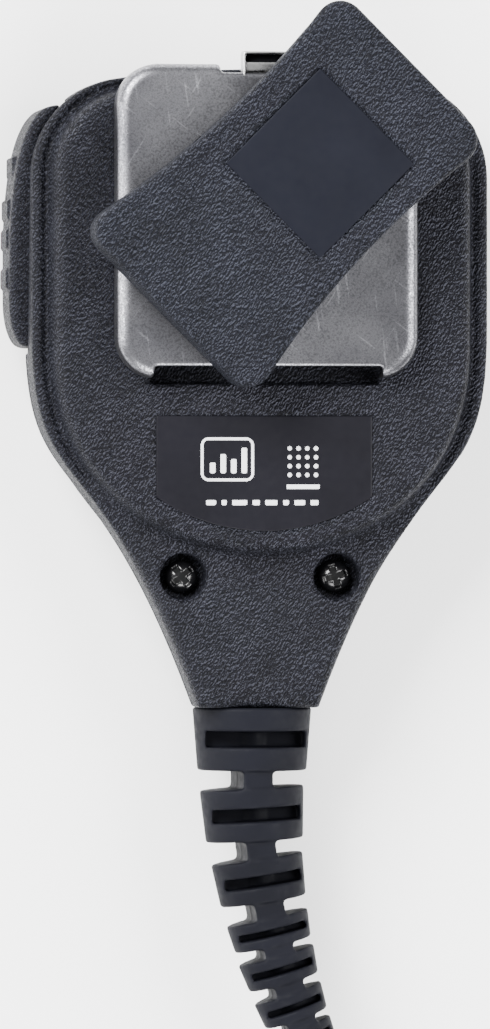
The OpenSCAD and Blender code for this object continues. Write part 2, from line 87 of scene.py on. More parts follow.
# Heights clear above the shells and above the clip, where cuts through the top end
OVER_SHELL, OVER_CLIP = 30, 60

# The steel plate and the clip; U runs along its arm and V across it, before it is turned
PLATE_Z = plate_high[2]
TONGUE_HALF, TONGUE_DROP = 3.7, 2.4
CLIP_TURN = 45.0
ARM_V = 1.1
ARM_TOP = PLATE_Z + 7.4
ARM_SHEET = 2.2
INLAY_U, INLAY_V, INLAY_HALF = 9.55, 0.8, 9.7
INLAY_FLOOR = ARM_TOP - 0.45
PIVOT_Z = PLATE_Z + 2.95

# The cord, and the strain relief's rings: each one's start, end and two diameters
CORD_Z = 11.4
CABLE_D = 4.0
CURL_D, CURL_PITCH, FOLD_STRETCH = 13.0, 4.3, 2.4
CURL_Z = 7.2
FOLD_X, FOLD_Y, FOLD_R = 10.5, -264.0, 12.0
RINGS = [
    (0, 9, 17, 15.6), (11.5, 19, 14.9, 13.9), (21.6, 27.8, 13.2, 12.3), (30.2, 34.2, 11.9, 11.1),
    (35.7, 39.8, 11.2, 10.2), (41.4, 45.3, 10.1, 9.3), (46.6, 50.2, 9.2, 8.5), (51.4, 54.8, 8.1, 7.5),
]
BOOT_STRAIGHT, BOOT_BEND_R = 9.5, 98.0
BOOT_CORE_R, BOOT_WEB_HALF, BOOT_FLOOR_HALF = 2.2, 2.1, 1.5

# The cord's route, as in the CAD source
LEAD_ROUTE = [
    (10.28, -122.6, 11.4), (12.51, -127.08, 11.4), (15.3, -133.3, 10.2), (17.4, -140, 7.6), (18.5, -147, 5),
    (18.8, -154, 3), (18.6, -161, 2.6), (18, -167, 4), (17.7, -172.5, 6.4), (17.6, -176, 7.2),
    (17.6, -178, 7.2),
]
TAIL_ROUTE = [
    (3.4, -178, 7.2), (3.4, -176, 7.2), (3.3, -172.5, 6.4), (3, -167, 4), (1.6, -160.5, 2.4), (-2, -154, 2.1),
    (-8, -150.5, 2.1), (-14.5, -152, 2.1), (-19, -157, 2.1), (-21.5, -163.5, 2.4), (-22.9, -171, 3.4),
    (-23.5, -177, 4.7), (-23.6, -181, 5.2), (-23.6, -184, 5.2),
]
FOLD_SIDE = [
    (17.6, -178, 7.2), (17.6, -191, 7.2), (17.6, -204, 7.2), (17.6, -217, 7.2), (18.6, -230, 7.2),
    (20.8, -242, 7.2), (22.3, -253, 7.2),
]


# ---------------------------------------------------------------- camera, lights and floor
def make_camera():
    """Looks down on the back, from 8 degrees towards the talk button's side."""
    tilt = math.radians(8)
    target = Vector((-3.45, -41.9, PLATE_Z)) * MM
    distance = 1.2
    frame_height = 0.1449  # of the picture, in metres at the target
    data = bpy.data.cameras.new("camera")
    data.sensor_width = 36
    data.lens = data.sensor_width * distance / frame_height
    data.clip_end = 10
    camera = bpy.data.objects.new("camera", data)
    bpy.context.scene.collection.objects.link(camera)
    camera.location = target + distance * Vector((-math.sin(tilt), 0, math.cos(tilt)))
    camera.rotation_euler = (0, -tilt, 0)
    bpy.context.scene.camera = camera


def area_light(name, at, size, power, aim=(0, -0.03, 0.01)):
    """A white rectangular lamp that points at the microphone."""
    data = bpy.data.lights.new(name, "AREA")
    data.shape = "RECTANGLE"
    data.size, data.size_y = size
    data.energy = power
    light = bpy.data.objects.new(name, data)
    bpy.context.scene.collection.objects.link(light)
    light.location = at
    light.rotation_euler = (Vector(aim) - Vector(at)).to_track_quat("-Z", "Y").to_euler()


def make_stage():
    """A pale floor, a white world and four soft lamps."""
    bpy.ops.mesh.primitive_plane_add(size=6)
    floor = bpy.context.object
    floor.name = "floor"
    material = bpy.data.materials.new("floor_white")
    material.use_nodes = True
    shader = material.node_tree.nodes["Principled BSDF"]
    shader.inputs["Base Color"].default_value = (0.93, 0.93, 0.93, 1)
    shader.inputs["Roughness"].default_value = 0.7
    floor.data.materials.append(material)
    world = bpy.data.worlds.new("studio")
    world.use_nodes = True
    world.node_tree.nodes["Background"].inputs["Color"].default_value = (1, 1, 1, 1)
    world.node_tree.nodes["Background"].inputs["Strength"].default_value = 0.65
    bpy.context.scene.world = world
    area_light("key", (-0.6, 0.55, 0.75), (0.6, 0.6), 48)
    area_light("left", (-0.95, -0.05, 0.3), (0.3, 0.9), 13)
    area_light("fill", (0.8, 0.0, 0.7), (0.6, 0.8), 26)
    area_light("low", (0.0, -0.85, 0.6), (0.8, 0.5), 22)


make_camera()
make_stage()


# ---------------------------------------------------------------- the cord
def smooth_line(points, step):
    """Points about a step apart along a smooth curve through the given ones."""
    points = [Vector(p) for p in points]
    ends = [2 * points[0] - points[1], *points, 2 * points[-1] - points[-2]]
    line = []
    for a, b, c, d in zip(ends, ends[1:], ends[2:], ends[3:]):
        count = max(1, round((c - b).length / step))
        for i in range(count):
            t = i / count
            line.append(0.5 * (2 * b + (c - a) * t + (2 * a - 5 * b + 4 * c - d) * t**2
                               + (3 * b - a - 3 * c + d) * t**3))
    return [*line, points[-1]]


def fold_line():
    """The centre of the folded curls, from the lead's end to the tail's start."""
    across = [(2 * FOLD_X - x, y, z) for x, y, z in reversed(FOLD_SIDE)]
    bend = [
        (FOLD_X + FOLD_R * math.cos(math.radians(a)), FOLD_Y + FOLD_R * math.sin(math.radians(a)), CURL_Z)
        for a in range(0, -181, -20)
    ]
    return smooth_line(FOLD_SIDE + bend + across, 1.0)


def lengths(line):
    """How far along the line each of its points lies."""
    run = [0.0]
    for a, b in zip(line, line[1:]):
        run.append(run[-1] + (b - a).length)
    return run


def curls():
    """The curly part: a helix around the folded line, opening from and closing to it."""
    line = fold_line()
    run = lengths(line)
    total, mean_r = run[-1], (CURL_D - CABLE_D) / 2
    ease, step = 11.0, 0.16
    tangents = [
        (line[min(k + 1, len(line) - 1)] - line[max(k - 1, 0)]).normalized() for k in range(len(line))
    ]
    points = []
    k, angle = 0, 0.0
    count = round(total / step)
    for i in range(count + 1):
        s = total * i / count
        while k < len(run) - 2 and run[k + 1] < s:
            k += 1
        t = (s - run[k]) / (run[k + 1] - run[k])
        centre = line[k].lerp(line[k + 1], t)
        ahead = tangents[k].lerp(tangents[k + 1], t).normalized()
        across = ahead.cross(Vector((0, 0, 1))).normalized()
        up = across.cross(ahead)
        opening = min(1.0, s / ease, (total - s) / ease)
        swing = max(0.0, min(1.0, (FOLD_Y + 12 - centre.y) / 10))
        pitch = CURL_PITCH + FOLD_STRETCH * swing
        angle += 2 * math.pi / pitch * opening**2 * total / count
        reach = mean_r * opening * opening * (3 - 2 * opening)
        points.append(centre + reach * (math.cos(angle) * across - math.sin(angle) * up))
    return points


def tube_piece(name, points, radius, sides=14):
    """A closed round bar along points, in millimetres, with slightly rounded ends."""
    last = len(points) - 1
    tangents = [(points[min(i + 1, last)] - points[max(i - 1, 0)]).normalized() for i in range(last + 1)]
    across = tangents[0].cross(Vector((0, 0, 1))).normalized()
    rings = []
    for i, (at, ahead) in enumerate(zip(points, tangents)):
        across = (across - across.dot(ahead) * ahead).normalized()
        up = across.cross(ahead)
        r = radius * (0.86 if i in (0, last) else 1)
        for k in range(sides):
            a = 2 * math.pi * k / sides
            rings.append((at + r * (math.cos(a) * across + math.sin(a) * up)) * MM)
    faces = [
        (i * sides + k, i * sides + (k + 1) % sides, (i + 1) * sides + (k + 1) % sides, (i + 1) * sides + k)
        for i in range(last) for k in range(sides)
    ]
    caps = [tuple(range(sides - 1, -1, -1)), tuple(last * sides + k for k in range(sides))]
    mesh = bpy.data.meshes.new(name)
    mesh.from_pydata(rings, [], faces + caps)
    mesh.polygons.foreach_set("use_smooth", [True] * len(faces) + [False, False])
    mesh.update()
    obj = bpy.data.objects.new(name, mesh)
    bpy.context.scene.collection.objects.link(obj)
    return obj


cord_points = smooth_line(LEAD_ROUTE, 1.5)[:-1] + curls() + smooth_line(TAIL_ROUTE, 1.5)[1:]
cord = tube_piece("cord", cord_points, CABLE_D / 2)
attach(cord, "housing")
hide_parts("cord_lead", "cord_curl", "cord_tail")


# ---------------------------------------------------------------- distance fields
def bezier(p, n):
    """Points along a cubic curve with four control points."""
    t = np.linspace(0, 1, n + 1)[:, None]
    s = 1 - t
    p = np.array(p, float)
    return s**3 * p[0] + 3 * s * s * t * p[1] + 3 * s * t * t * p[2] + t**3 * p[3]


def arc(centre, r, start, end, n):
    """Points along a round arc, from one angle in degrees to another."""
    a = np.radians(np.linspace(start, end, n + 1))
    return np.stack([centre[0] + r * np.cos(a), centre[1] + r * np.sin(a)], 1)


def both_sides(half):
    """A closed outline from its right half, mirrored."""
    mirrored = half[::-1][half[::-1, 0] > 0.01] * [-1, 1]
    return np.concatenate([half, mirrored])


def shield(half_w, top, corner, painted_light_slope):
    """A wide arc at the top that runs into its corners, and a flank down each side."""
    across = half_w - corner
    rise = math.sqrt((TOP_ARC_R - corner) ** 2 - across**2)
    meeting = math.degrees(math.atan2(rise, across))
    return both_sides(np.concatenate([
        arc((0, top - TOP_ARC_R), TOP_ARC_R, 90, meeting, 8),
        arc((across, top - TOP_ARC_R + rise), corner, meeting, 0, 16),
        bezier(painted_light_slope, 28),
    ]))


HOUSING = shield(HALF_W, TOP_Y, 14, [(HALF_W, -15.6), (HALF_W, -40.9), (23.3, -29.6), (8.7, NECK_Y)])
PANEL = shield(PANEL_HALF, PANEL_TOP, 12,
               [(PANEL_HALF, -18.5), (PANEL_HALF, -38.5), (14, PANEL_LOW), (0, PANEL_LOW)])
LABEL = both_sides(np.concatenate([[(0, -27.9), (15.5, -27.9)], arc((0, -17.3), 27, -54.97, -90, 14)]))


class Grid:
    """A block of points, in millimetres, that fields are worked out on."""

    def __init__(self, low, high, step):
        self.low, self.step = np.array(low, float), step
        axes = [np.arange(a, b + step, step) for a, b in zip(low, high)]
        self.x = axes[0][:, None, None]
        self.y = axes[1][None, :, None]
        self.z = axes[2][None, None, :]
        self.shape = tuple(len(a) for a in axes)

    def inside_outline(self, points):
        """Signed distance in the XY plane to a closed outline."""
        px, py = self.x[:, :, 0], self.y[:, :, 0]
        best = np.full(self.shape[:2], 1e9)
        inside = np.zeros(self.shape[:2], bool)
        for (ax, ay), (bx, by) in zip(points, np.roll(points, -1, 0)):
            ex, ey = bx - ax, by - ay
            wx, wy = px - ax, py - ay
            t = np.clip((wx * ex + wy * ey) / (ex * ex + ey * ey + 1e-12), 0, 1)
            best = np.minimum(best, np.hypot(wx - t * ex, wy - t * ey))
            if ay != by:
                crosses = (ay > py) != (by > py)
                inside ^= crosses & (px < ax + (py - ay) * ex / ey)
        return np.where(inside, -best, best)[:, :, None]

    def turned(self, at, degrees):
        """Coordinates in a frame at a point, turned about Z."""
        a = math.radians(degrees)
        dx, dy = self.x - at[0], self.y - at[1]
        return dx * math.cos(a) + dy * math.sin(a), dy * math.cos(a) - dx * math.sin(a)


def rounded(a, b, edge=0.0):
    """What lies inside both fields, with a rounded edge between them."""
    a, b = a + edge, b + edge
    return np.minimum(np.maximum(a, b), 0) + np.hypot(np.maximum(a, 0), np.maximum(b, 0)) - edge


def raised(flat, along, low, high, edge=0.0):
    """A flat shape extruded from low to high, with rounded edges."""
    return rounded(flat, np.abs(along - (low + high) / 2) - (high - low) / 2, edge)


def block(x, y, z, low, high, edge=0.0):
    """A box with rounded edges."""
    flat = raised(np.abs(x - (low[0] + high[0]) / 2) - (high[0] - low[0]) / 2, y, low[1], high[1], edge)
    return raised(flat, z, low[2], high[2], edge)


def smooth(t):
    """0 below 0, 1 above 1 and an easy slope between."""
    t = np.clip(t, 0, 1)
    return t * t * (3 - 2 * t)


def join(a, b, blend=0.0):
    """What lies inside either field, with a fillet where they meet."""
    if not np.any(blend):
        return np.minimum(a, b)
    h = np.maximum(blend - np.abs(a - b), 0) / blend
    return np.minimum(a, b) - h * h * blend / 4


def meet(a, b, blend=0.0):
    """What lies inside both fields."""
    return -join(-a, -b, blend)


def carve(a, b, blend=0.0):
    """The first field without the second."""
    return meet(a, -b, blend)


def surface(name, grid, field, relax=1, turn=0.0):
    """The field's zero surface as a smooth closed mesh, turned about Z at the end."""
    field = np.ascontiguousarray(np.broadcast_to(field, grid.shape)).astype(np.float64)
    inside = field < 0
    corners = [(i, j, k) for i in (0, 1) for j in (0, 1) for k in (0, 1)]
    cells = tuple(n - 1 for n in grid.shape)
    count = np.zeros(cells, np.int8)
    for i, j, k in corners:
        count += inside[i:i + cells[0], j:j + cells[1], k:k + cells[2]]
    mixed = (count > 0) & (count < 8)
    ci, cj, ck = np.nonzero(mixed)
    index = np.full(cells, -1, np.int64)
    index[mixed] = np.arange(len(ci))
    total, hits = np.zeros((len(ci), 3)), np.zeros(len(ci))
    for a in corners:
        for axis in range(3):
            if a[axis]:
                continue
            b = tuple(v + (n == axis) for n, v in enumerate(a))
            fa = field[ci + a[0], cj + a[1], ck + a[2]]
            fb = field[ci + b[0], cj + b[1], ck + b[2]]
            cut = (fa < 0) != (fb < 0)
            t = fa[cut] / (fa[cut] - fb[cut])
            spot = np.array(a, float)[None, :].repeat(cut.sum(), 0)
            spot[:, axis] += t
            total[cut] += spot
            hits[cut] += 1
    points = (np.stack([ci, cj, ck], 1) + total / hits[:, None]) * grid.step + grid.low
    quads = []
    for axis in range(3):
        u, v = (axis + 1) % 3, (axis + 2) % 3
        first = [slice(0, n) for n in grid.shape]
        second = list(first)
        first[axis], second[axis] = slice(0, -1), slice(1, None)
        a, b = inside[tuple(first)], inside[tuple(second)]
        for goes_in in (False, True):
            at = np.stack(np.nonzero((~a & b) if goes_in else (a & ~b)), 1)
            at = at[(at[:, u] > 0) & (at[:, v] > 0) & (at[:, u] < cells[u]) & (at[:, v] < cells[v])]
            around = []
            for du, dv in ((1, 1), (0, 1), (0, 0), (1, 0)):
                near = at.copy()
                near[:, u] -= du
                near[:, v] -= dv
                around.append(index[near[:, 0], near[:, 1], near[:, 2]])
            quad = np.stack(around, 1)
            quads.append(quad[:, ::-1] if goes_in else quad)
    quads = np.concatenate(quads)
    for _ in range(relax):
        points = relaxed(points, quads)
    if turn:
        a = math.radians(turn)
        points[:, :2] = points[:, :2] @ np.array([[math.cos(a), math.sin(a)], [-math.sin(a), math.cos(a)]])
    return mesh_piece(name, points, quads)


def relaxed(points, quads):
    """Each point moved half-way to the middle of its neighbours."""
    near, number = np.zeros_like(points), np.zeros(len(points))
    for a, b in ((0, 1), (1, 2), (2, 3), (3, 0)):
        for p, q in ((quads[:, a], quads[:, b]), (quads[:, b], quads[:, a])):
            for axis in range(3):
                near[:, axis] += np.bincount(p, points[q, axis], len(points))
            number += np.bincount(p, minlength=len(points))
    return (points + near / number[:, None]) / 2


def mesh_piece(name, points, quads):
    """A smooth-shaded mesh object from millimetre points and quads."""
    mesh = bpy.data.meshes.new(name)
    mesh.vertices.add(len(points))
    mesh.vertices.foreach_set("co", (np.asarray(points) * MM).astype(np.float32).ravel())
    mesh.loops.add(quads.size)
    mesh.loops.foreach_set("vertex_index", quads.astype(np.int32).ravel())
    mesh.polygons.add(len(quads))
    mesh.polygons.foreach_set("loop_start", np.arange(0, quads.size, 4, dtype=np.int32))
    mesh.polygons.foreach_set("loop_total", np.full(len(quads), 4, np.int32))
    mesh.polygons.foreach_set("use_smooth", np.ones(len(quads), bool))
    mesh.update()
    mesh.validate()
    obj = bpy.data.objects.new(name, mesh)
    bpy.context.scene.collection.objects.link(obj)
    return obj


def piece(obj, body, slot, *nodes):
    """Rides an object on its body, and lets it stand for CAD nodes."""
    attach(obj, body)
    if nodes:
        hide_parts(*nodes)
    return obj


# ---------------------------------------------------------------- materials
def new_material(name, color, rough, metal=0.0):
    material = bpy.data.materials.new(name)
    material.use_nodes = True
    shader = material.node_tree.nodes["Principled BSDF"]
    shader.inputs["Base Color"].default_value = (*color, 1)
    shader.inputs["Roughness"].default_value = rough
    shader.inputs["Metallic"].default_value = metal
    return material, material.node_tree, shader


def add_node(tree, kind, **values):
    """A shader node with some of its inputs or settings given."""
    node = tree.nodes.new(kind)
    for key, value in values.items():
        if key in node.inputs:
            node.inputs[key].default_value = value
        else:
            setattr(node, key, value)
    return node


def noise(tree, source, scale, detail=2.0):
    node = add_node(tree, "ShaderNodeTexNoise")
    node.inputs["Scale"].default_value = scale
    node.inputs["Detail"].default_value = detail
    tree.links.new(source, node.inputs["Vector"])
    return node


def ramp(tree, source, *stops):
    """A colour ramp; each stop is a position and a grey or a colour."""
    node = tree.nodes.new("ShaderNodeValToRGB")
    while len(node.color_ramp.elements) < len(stops):
        node.color_ramp.elements.new(0.5)
    for element, (at, value) in zip(node.color_ramp.elements, stops):
        element.position = at
        element.color = (*value, 1) if isinstance(value, tuple) else (value, value, value, 1)
    tree.links.new(source, node.inputs["Fac"])
    return node.outputs["Color"]


def place(tree, stretch=(1, 1, 1), turn=(0, 0, 0)):
    """Object coordinates, turned and then stretched."""
    coordinates = tree.nodes.new("ShaderNodeTexCoord")
    mapping = add_node(tree, "ShaderNodeMapping", vector_type="TEXTURE")
    mapping.inputs["Rotation"].default_value = turn
    mapping.inputs["Scale"].default_value = stretch
    tree.links.new(coordinates.outputs["Object"], mapping.inputs["Vector"])
    return mapping.outputs["Vector"]


def bump(tree, shader, height, strength, distance, after=None):
    """Relief on a shader, added to the relief of an earlier bump if one is given."""
    node = add_node(tree, "ShaderNodeBump")
    node.inputs["Strength"].default_value = strength
    node.inputs["Distance"].default_value = distance
    tree.links.new(height, node.inputs["Height"])
    if after:
        tree.links.new(after, node.inputs["Normal"])
    tree.links.new(node.outputs["Normal"], shader.inputs["Normal"])
    return node.outputs["Normal"]


def multiply(tree, a, b, factor=1.0):
    """One colour times another."""
    mix = add_node(tree, "ShaderNodeMix", data_type="RGBA", blend_type="MULTIPLY")
    mix.inputs["Factor"].default_value = factor
    tree.links.new(a, mix.inputs["A"])
    tree.links.new(b, mix.inputs["B"])
    return mix.outputs["Result"]


def grained(name, dark, color, light, rough=0.5):
    """Moulded plastic with an elongated pebble grain, each pebble painted paler on one side and darker on the
    other: painted highlight and painted shade over the plastic's own colour.
    """
    material, tree, shader = new_material(name, color, rough)
    shader.inputs["IOR"].default_value = 1.16
    where = place(tree, (1, 1.8, 1), (0, 0, math.radians(-26)))
    pebble_scale = 3700
    pebbles = noise(tree, where, pebble_scale, 1.5)
    # Each pebble's noise minus the same noise shifted a little paints one side of it paler and the other
    # darker: painted highlight and painted shade.
    beside = add_node(tree, "ShaderNodeVectorMath", operation="ADD")
    beside.inputs[1].default_value = (0.00007, -0.00004, 0.00002)
    tree.links.new(where, beside.inputs[0])
    shifted = noise(tree, beside.outputs["Vector"], pebble_scale, 1.5)
    painted_light_slope = add_node(tree, "ShaderNodeMath", operation="SUBTRACT")
    tree.links.new(pebbles.outputs["Fac"], painted_light_slope.inputs[0])
    tree.links.new(shifted.outputs["Fac"], painted_light_slope.inputs[1])
    middle = add_node(tree, "ShaderNodeMath", operation="ADD")
    middle.inputs[1].default_value = 0.5
    tree.links.new(painted_light_slope.outputs["Value"], middle.inputs[0])
    broad = noise(tree, where, 260, 3.0)
    height = ramp(tree, pebbles.outputs["Fac"], (0.38, 0.0), (0.64, 1.0))
    bump(tree, shader, height, 0.9, 0.00012)
    # dark and light are the painted shade and painted highlight colours of the pebbles' sides; color is the
    # plastic's own colour.
    shade = ramp(tree, middle.outputs["Value"], (0.44, dark), (0.53, color), (0.62, light))
    wear = ramp(tree, broad.outputs["Fac"], (0.3, 0.8), (0.7, 1.2))
    tree.links.new(multiply(tree, shade, wear), shader.inputs["Base Color"])
    gloss = ramp(tree, pebbles.outputs["Fac"], (0.38, rough + 0.2), (0.66, rough - 0.14))
    tree.links.new(gloss, shader.inputs["Roughness"])
    return material


def satin(name, color, rough=0.42, fleck=0.06, metal=0.0, scale=900, depth=0.00001, shine=1.14):
    """A smooth surface with faint mottling in its colour, gloss and relief."""
    material, tree, shader = new_material(name, color, rough, metal)
    shader.inputs["IOR"].default_value = shine
    where = place(tree)
    fine = noise(tree, where, scale, 3.0)
    broad = noise(tree, where, 90, 3.0)
    low, high = tuple(c * (1 - 2 * fleck) for c in color), tuple(c * (1 + 2 * fleck) for c in color)
    tree.links.new(ramp(tree, broad.outputs["Fac"], (0.3, low), (0.7, high)), shader.inputs["Base Color"])
    gloss = ramp(tree, fine.outputs["Fac"], (0.3, rough - fleck), (0.7, rough + fleck))
    tree.links.new(gloss, shader.inputs["Roughness"])
    bump(tree, shader, fine.outputs["Fac"], 0.5, depth)
    return material


def plate_steel():
    """Satin pressed steel with speckle, brushing and fine scratches, its colour painted brighter towards −X
    and darker towards +X as a painted reflection.
    """
    material, tree, shader = new_material("plate_steel", (0.3, 0.3, 0.32), 0.3, 1.0)
    speckle = noise(tree, place(tree), 3600, 4.0)
    brushed = noise(tree, place(tree, (1, 14, 1), (0, 0, math.radians(-38))), 1900, 2.0)
    cloud = noise(tree, place(tree), 70, 3.0)
    shade = ramp(tree, cloud.outputs["Fac"], (0.3, (0.11, 0.11, 0.122)), (0.7, (0.22, 0.22, 0.235)))
    shade = multiply(tree, shade, ramp(tree, speckle.outputs["Fac"], (0.36, 0.4), (0.64, 1.6)), 0.8)
    # Painted reflection: the colour is darkened from −X towards +X, down to 0.6 at the plate's +X edge.
    across = add_node(tree, "ShaderNodeSeparateXYZ")
    tree.links.new(place(tree, (0.1, 0.1, 0.1)), across.inputs["Vector"])
    painted_reflection_falloff = add_node(tree, "ShaderNodeMapRange")
    tree.links.new(across.outputs["X"], painted_reflection_falloff.inputs["Value"])
    for socket, value in (("From Min", -0.2), ("From Max", 0.2), ("To Min", 1.2), ("To Max", 0.6)):
        painted_reflection_falloff.inputs[socket].default_value = value
    shade = multiply(tree, shade, ramp(tree, painted_reflection_falloff.outputs["Result"], (0.0, 0.0), (1.0, 1.0)))
    for stretch, turn, scale in (((1, 22, 1), 52, 2300), ((1, 16, 1), -33, 2000), ((1, 20, 1), 8, 2600)):
        fine = noise(tree, place(tree, stretch, (0, 0, math.radians(turn))), scale, 1.0)
        marks = ramp(tree, fine.outputs["Fac"], (0.69, 1.0), (0.74, 1.6))
        shade = multiply(tree, shade, marks)
    tree.links.new(shade, shader.inputs["Base Color"])
    tree.links.new(ramp(tree, speckle.outputs["Fac"], (0.35, 0.42), (0.7, 0.24)), shader.inputs["Roughness"])
    first = bump(tree, shader, speckle.outputs["Fac"], 0.35, 0.00004)
    bump(tree, shader, brushed.outputs["Fac"], 0.25, 0.00003, first)
    return material


# The first and last colours of each grained material are the painted shade and painted highlight on the
# pebbles' sides.
SHELL = grained("shell_grain_painted_light", (0.0018, 0.0018, 0.0027), (0.0042, 0.0044, 0.0068), (0.027, 0.028, 0.036))
CLIP = grained("clip_grain_painted_light", (0.0021, 0.0023, 0.0036), (0.0053, 0.0057, 0.0088), (0.027, 0.029, 0.038),
               rough=0.52)
SMOOTH = satin("smooth_plastic", (0.005, 0.0054, 0.0084), 0.5)
CHARCOAL = satin("label_film", (0.006, 0.0058, 0.0077), 0.42)
RUBBER = satin("rubber_satin", (0.0041, 0.0043, 0.0064), 0.6, 0.08)
CABLE = satin("cable_jacket", (0.0045, 0.0047, 0.0062), 0.42, 0.08, shine=1.25)
BLACK_GLOSS = satin("black_screw", (0.003, 0.003, 0.0035), 0.2, 0.05, 0.0, 1200, shine=1.5)
# The dark material of the painted shade sheet in the latch's channel.
BLACK = satin("painted_shade_black", (0.004, 0.004, 0.005), 0.6, 0.08)
STEEL = satin("plain_steel", (0.5, 0.5, 0.5), 0.3, 0.06, 1.0, shine=1.5)
BRASS = satin("plug_brass", (0.75, 0.55, 0.25), 0.22, 0.05, 1.0, shine=1.5)
NYLON = satin("nylon", (0.7, 0.7, 0.65), 0.4)
BOARD = satin("board_mask", (0.015, 0.13, 0.05), 0.35)
PAPER = satin("cone_paper", (0.03, 0.025, 0.02), 0.8)
CLOTH = satin("black_cloth", (0.012, 0.012, 0.013), 0.85, 0.1, 0.0, 2500, 0.00004)
PRINT = satin("label_print", (0.62, 0.62, 0.64), 0.5)
WIRE = satin("wire_red", (0.45, 0.06, 0.05), 0.35)
PLATE = plate_steel()


def dress(obj, material):
    """Gives an object its only material."""
    obj.data.materials.clear()
    obj.data.materials.append(material)
    return obj


dress(cord, CABLE)


# ---------------------------------------------------------------- housing
def neck_plane(g, y0, z0, y1, z1):
    """Height above a plane that slopes along Y."""
    slope = (z1 - z0) / (y1 - y0)
    return (g.z - z0 - slope * (g.y - y0)) / math.hypot(1, slope)


def button_band(g, grow):
    """The talk button's band as seen from the side: its back edge slants down to its lower end."""
    low, high = box_mm("ptt_button")
    front, top_z, low_z = low[2], high[2], low[2] + 9.4
    back = neck_plane(g, low[1], low_z, high[1], top_z)
    ends = np.abs(g.y - (low[1] + high[1]) / 2) - (high[1] - low[1]) / 2
    return rounded(np.maximum(back, front - g.z) - grow, ends - grow, 0.8)


def side_openings(g):
    """What both shells leave open for the talk button, the jack and the cord."""
    inner = box_mm("ptt_button")[1][0] - 3.2
    mouth, outside, end = inner + 1.5, -HALF_W - 4, 30
    plan = np.array([(outside, -end), (mouth, -end), (mouth, 11), (mouth + 3.2, 17), (mouth + 3.2, end),
                     (outside, end)])
    button = meet(g.inside_outline(plan), button_band(g, 0.3), 0.3)
    out, along = g.turned(JACK_AT, JACK_TURN)
    up = g.z - JACK_AT[2]
    hole = raised(np.hypot(along, up) - 3.2, out, -6, 3)
    recess = block(out, along, up, (-1.1, -6.75, -4.85), (5, 6.75, 4.85), 0.8)
    throat = raised(np.hypot(g.x, g.z - CORD_Z) - 5.2, g.y, NECK_Y - 2, NECK_Y + WALL + 1.3)
    return join(join(button, hole), join(recess, throat))


def rear_cover():
    g = Grid((-HALF_W - 1, NECK_Y - 1, REAR_Z - 1), (HALF_W + 1, TOP_Y + 1, BACK_Z + 1), 0.4)
    side, panel = g.inside_outline(HOUSING), g.inside_outline(PANEL)
    low_part = smooth((-34 - g.y) / 9)
    body = raised(side, g.z, REAR_Z - 8, DECK_Z, 0.9 + 2.4 * smooth((-42 - g.y) / 10))
    body = meet(body, neck_plane(g, PANEL_LOW, DECK_Z, NECK_Y, NECK_Z), 1.2)
    groove = raised(np.abs(panel - 0.5) - 0.32, g.z, 20.25 + 0.7 * low_part, OVER_SHELL)
    body = carve(body, groove, 0.5)
    body = join(body, raised(panel + 0.22 * (g.z - DECK_Z), g.z, 10, BACK_Z, 1.3), 0.3 + 1.5 * low_part)
    body = meet(body, REAR_Z - g.z, 0.4)
    hollow = join(raised(side + WALL, g.z, 0, 17.6), raised(panel + 3.2, g.z, 10, 21))
    body = carve(body, hollow)
    boss_r, counterbore_r = 4.4, 3.3
    for side_sign in (-1, 1):
        reach = np.hypot(g.x - side_sign * SCREW_X, g.y - SCREW_Y)
        body = join(body, raised(reach - boss_r, g.z, REAR_Z, 18))
        body = carve(body, raised(reach - counterbore_r, g.z, SCREW_SEAT, OVER_SHELL), 0.6)
        body = carve(body, raised(reach - PILOT_R, g.z, 0, OVER_SHELL))
    pocket = block(g.x, g.y, g.z, (-POCKET_HALF, -23.4, POCKET_Z), (POCKET_HALF, 12.6, OVER_SHELL), 0.3)
    body = carve(body, pocket, 0.5)
    body = carve(body, raised(g.inside_outline(LABEL) - 0.15, g.z, LABEL_FLOOR, OVER_SHELL), 0.15)
    return surface("rear_cover_shell", g, carve(body, side_openings(g), 0.3))


def front_shell():
    g = Grid((-HALF_W - 1, NECK_Y - 1, -1), (HALF_W + 1, TOP_Y + 1, SEAM_Z + 1), 0.4)
    side = g.inside_outline(HOUSING) + np.interp(g.z, SIDE_HEIGHTS, SIDE_INSETS)
    body = raised(side, g.z, 0, SEAM_Z + 8, 2.0)
    neck = neck_plane(g, -45, 0, NECK_Y, 2.8)
    body = meet(body, -neck, 1.6)
    body = meet(body, g.z - SEAM_Z, 0.4)
    body = carve(body, meet(raised(side + WALL, g.z, WALL, 40), WALL - neck))
    middle = np.hypot(g.x, g.y)
    speaker_wall_r, groove_r, hole_r, mic_y = 19, 16.6, 0.95, -38
    body = join(body, raised(np.abs(middle - speaker_wall_r) - 0.8, g.z, 1, 4.4))
    for side_sign in (-1, 1):
        reach = np.hypot(g.x - side_sign * SCREW_X, g.y - SCREW_Y)
        body = join(body, meet(raised(reach - 3.2, g.z, 0.8, SEAM_Z), -neck))
        body = carve(body, raised(reach - PILOT_R, g.z, 3.6, OVER_SHELL))
    # A groove runs around the speaker's holes, which lie in four rings; the microphone has its own
    body = carve(body, raised(np.abs(middle - groove_r) - 0.5, g.z, -2, 0.5), 0.3)
    holes = np.hypot(g.x, g.y - mic_y) + 0.15
    for ring in range(1, 5):
        ring_r = 1.2 + 3.2 * ring
        for i in range(6 * ring):
            a = math.radians(i * 60 / ring)
            holes = np.minimum(holes, np.hypot(g.x - ring_r * math.cos(a), g.y - ring_r * math.sin(a)))
    body = carve(body, raised(holes - hole_r, g.z, -2, 5), 0.2)
    return surface("front_shell_case", g, carve(body, side_openings(g), 0.3))


dress(piece(rear_cover(), "housing", "shell_plastic", "rear_cover"), SHELL)
dress(piece(front_shell(), "housing", "shell_plastic", "front_shell"), SHELL)


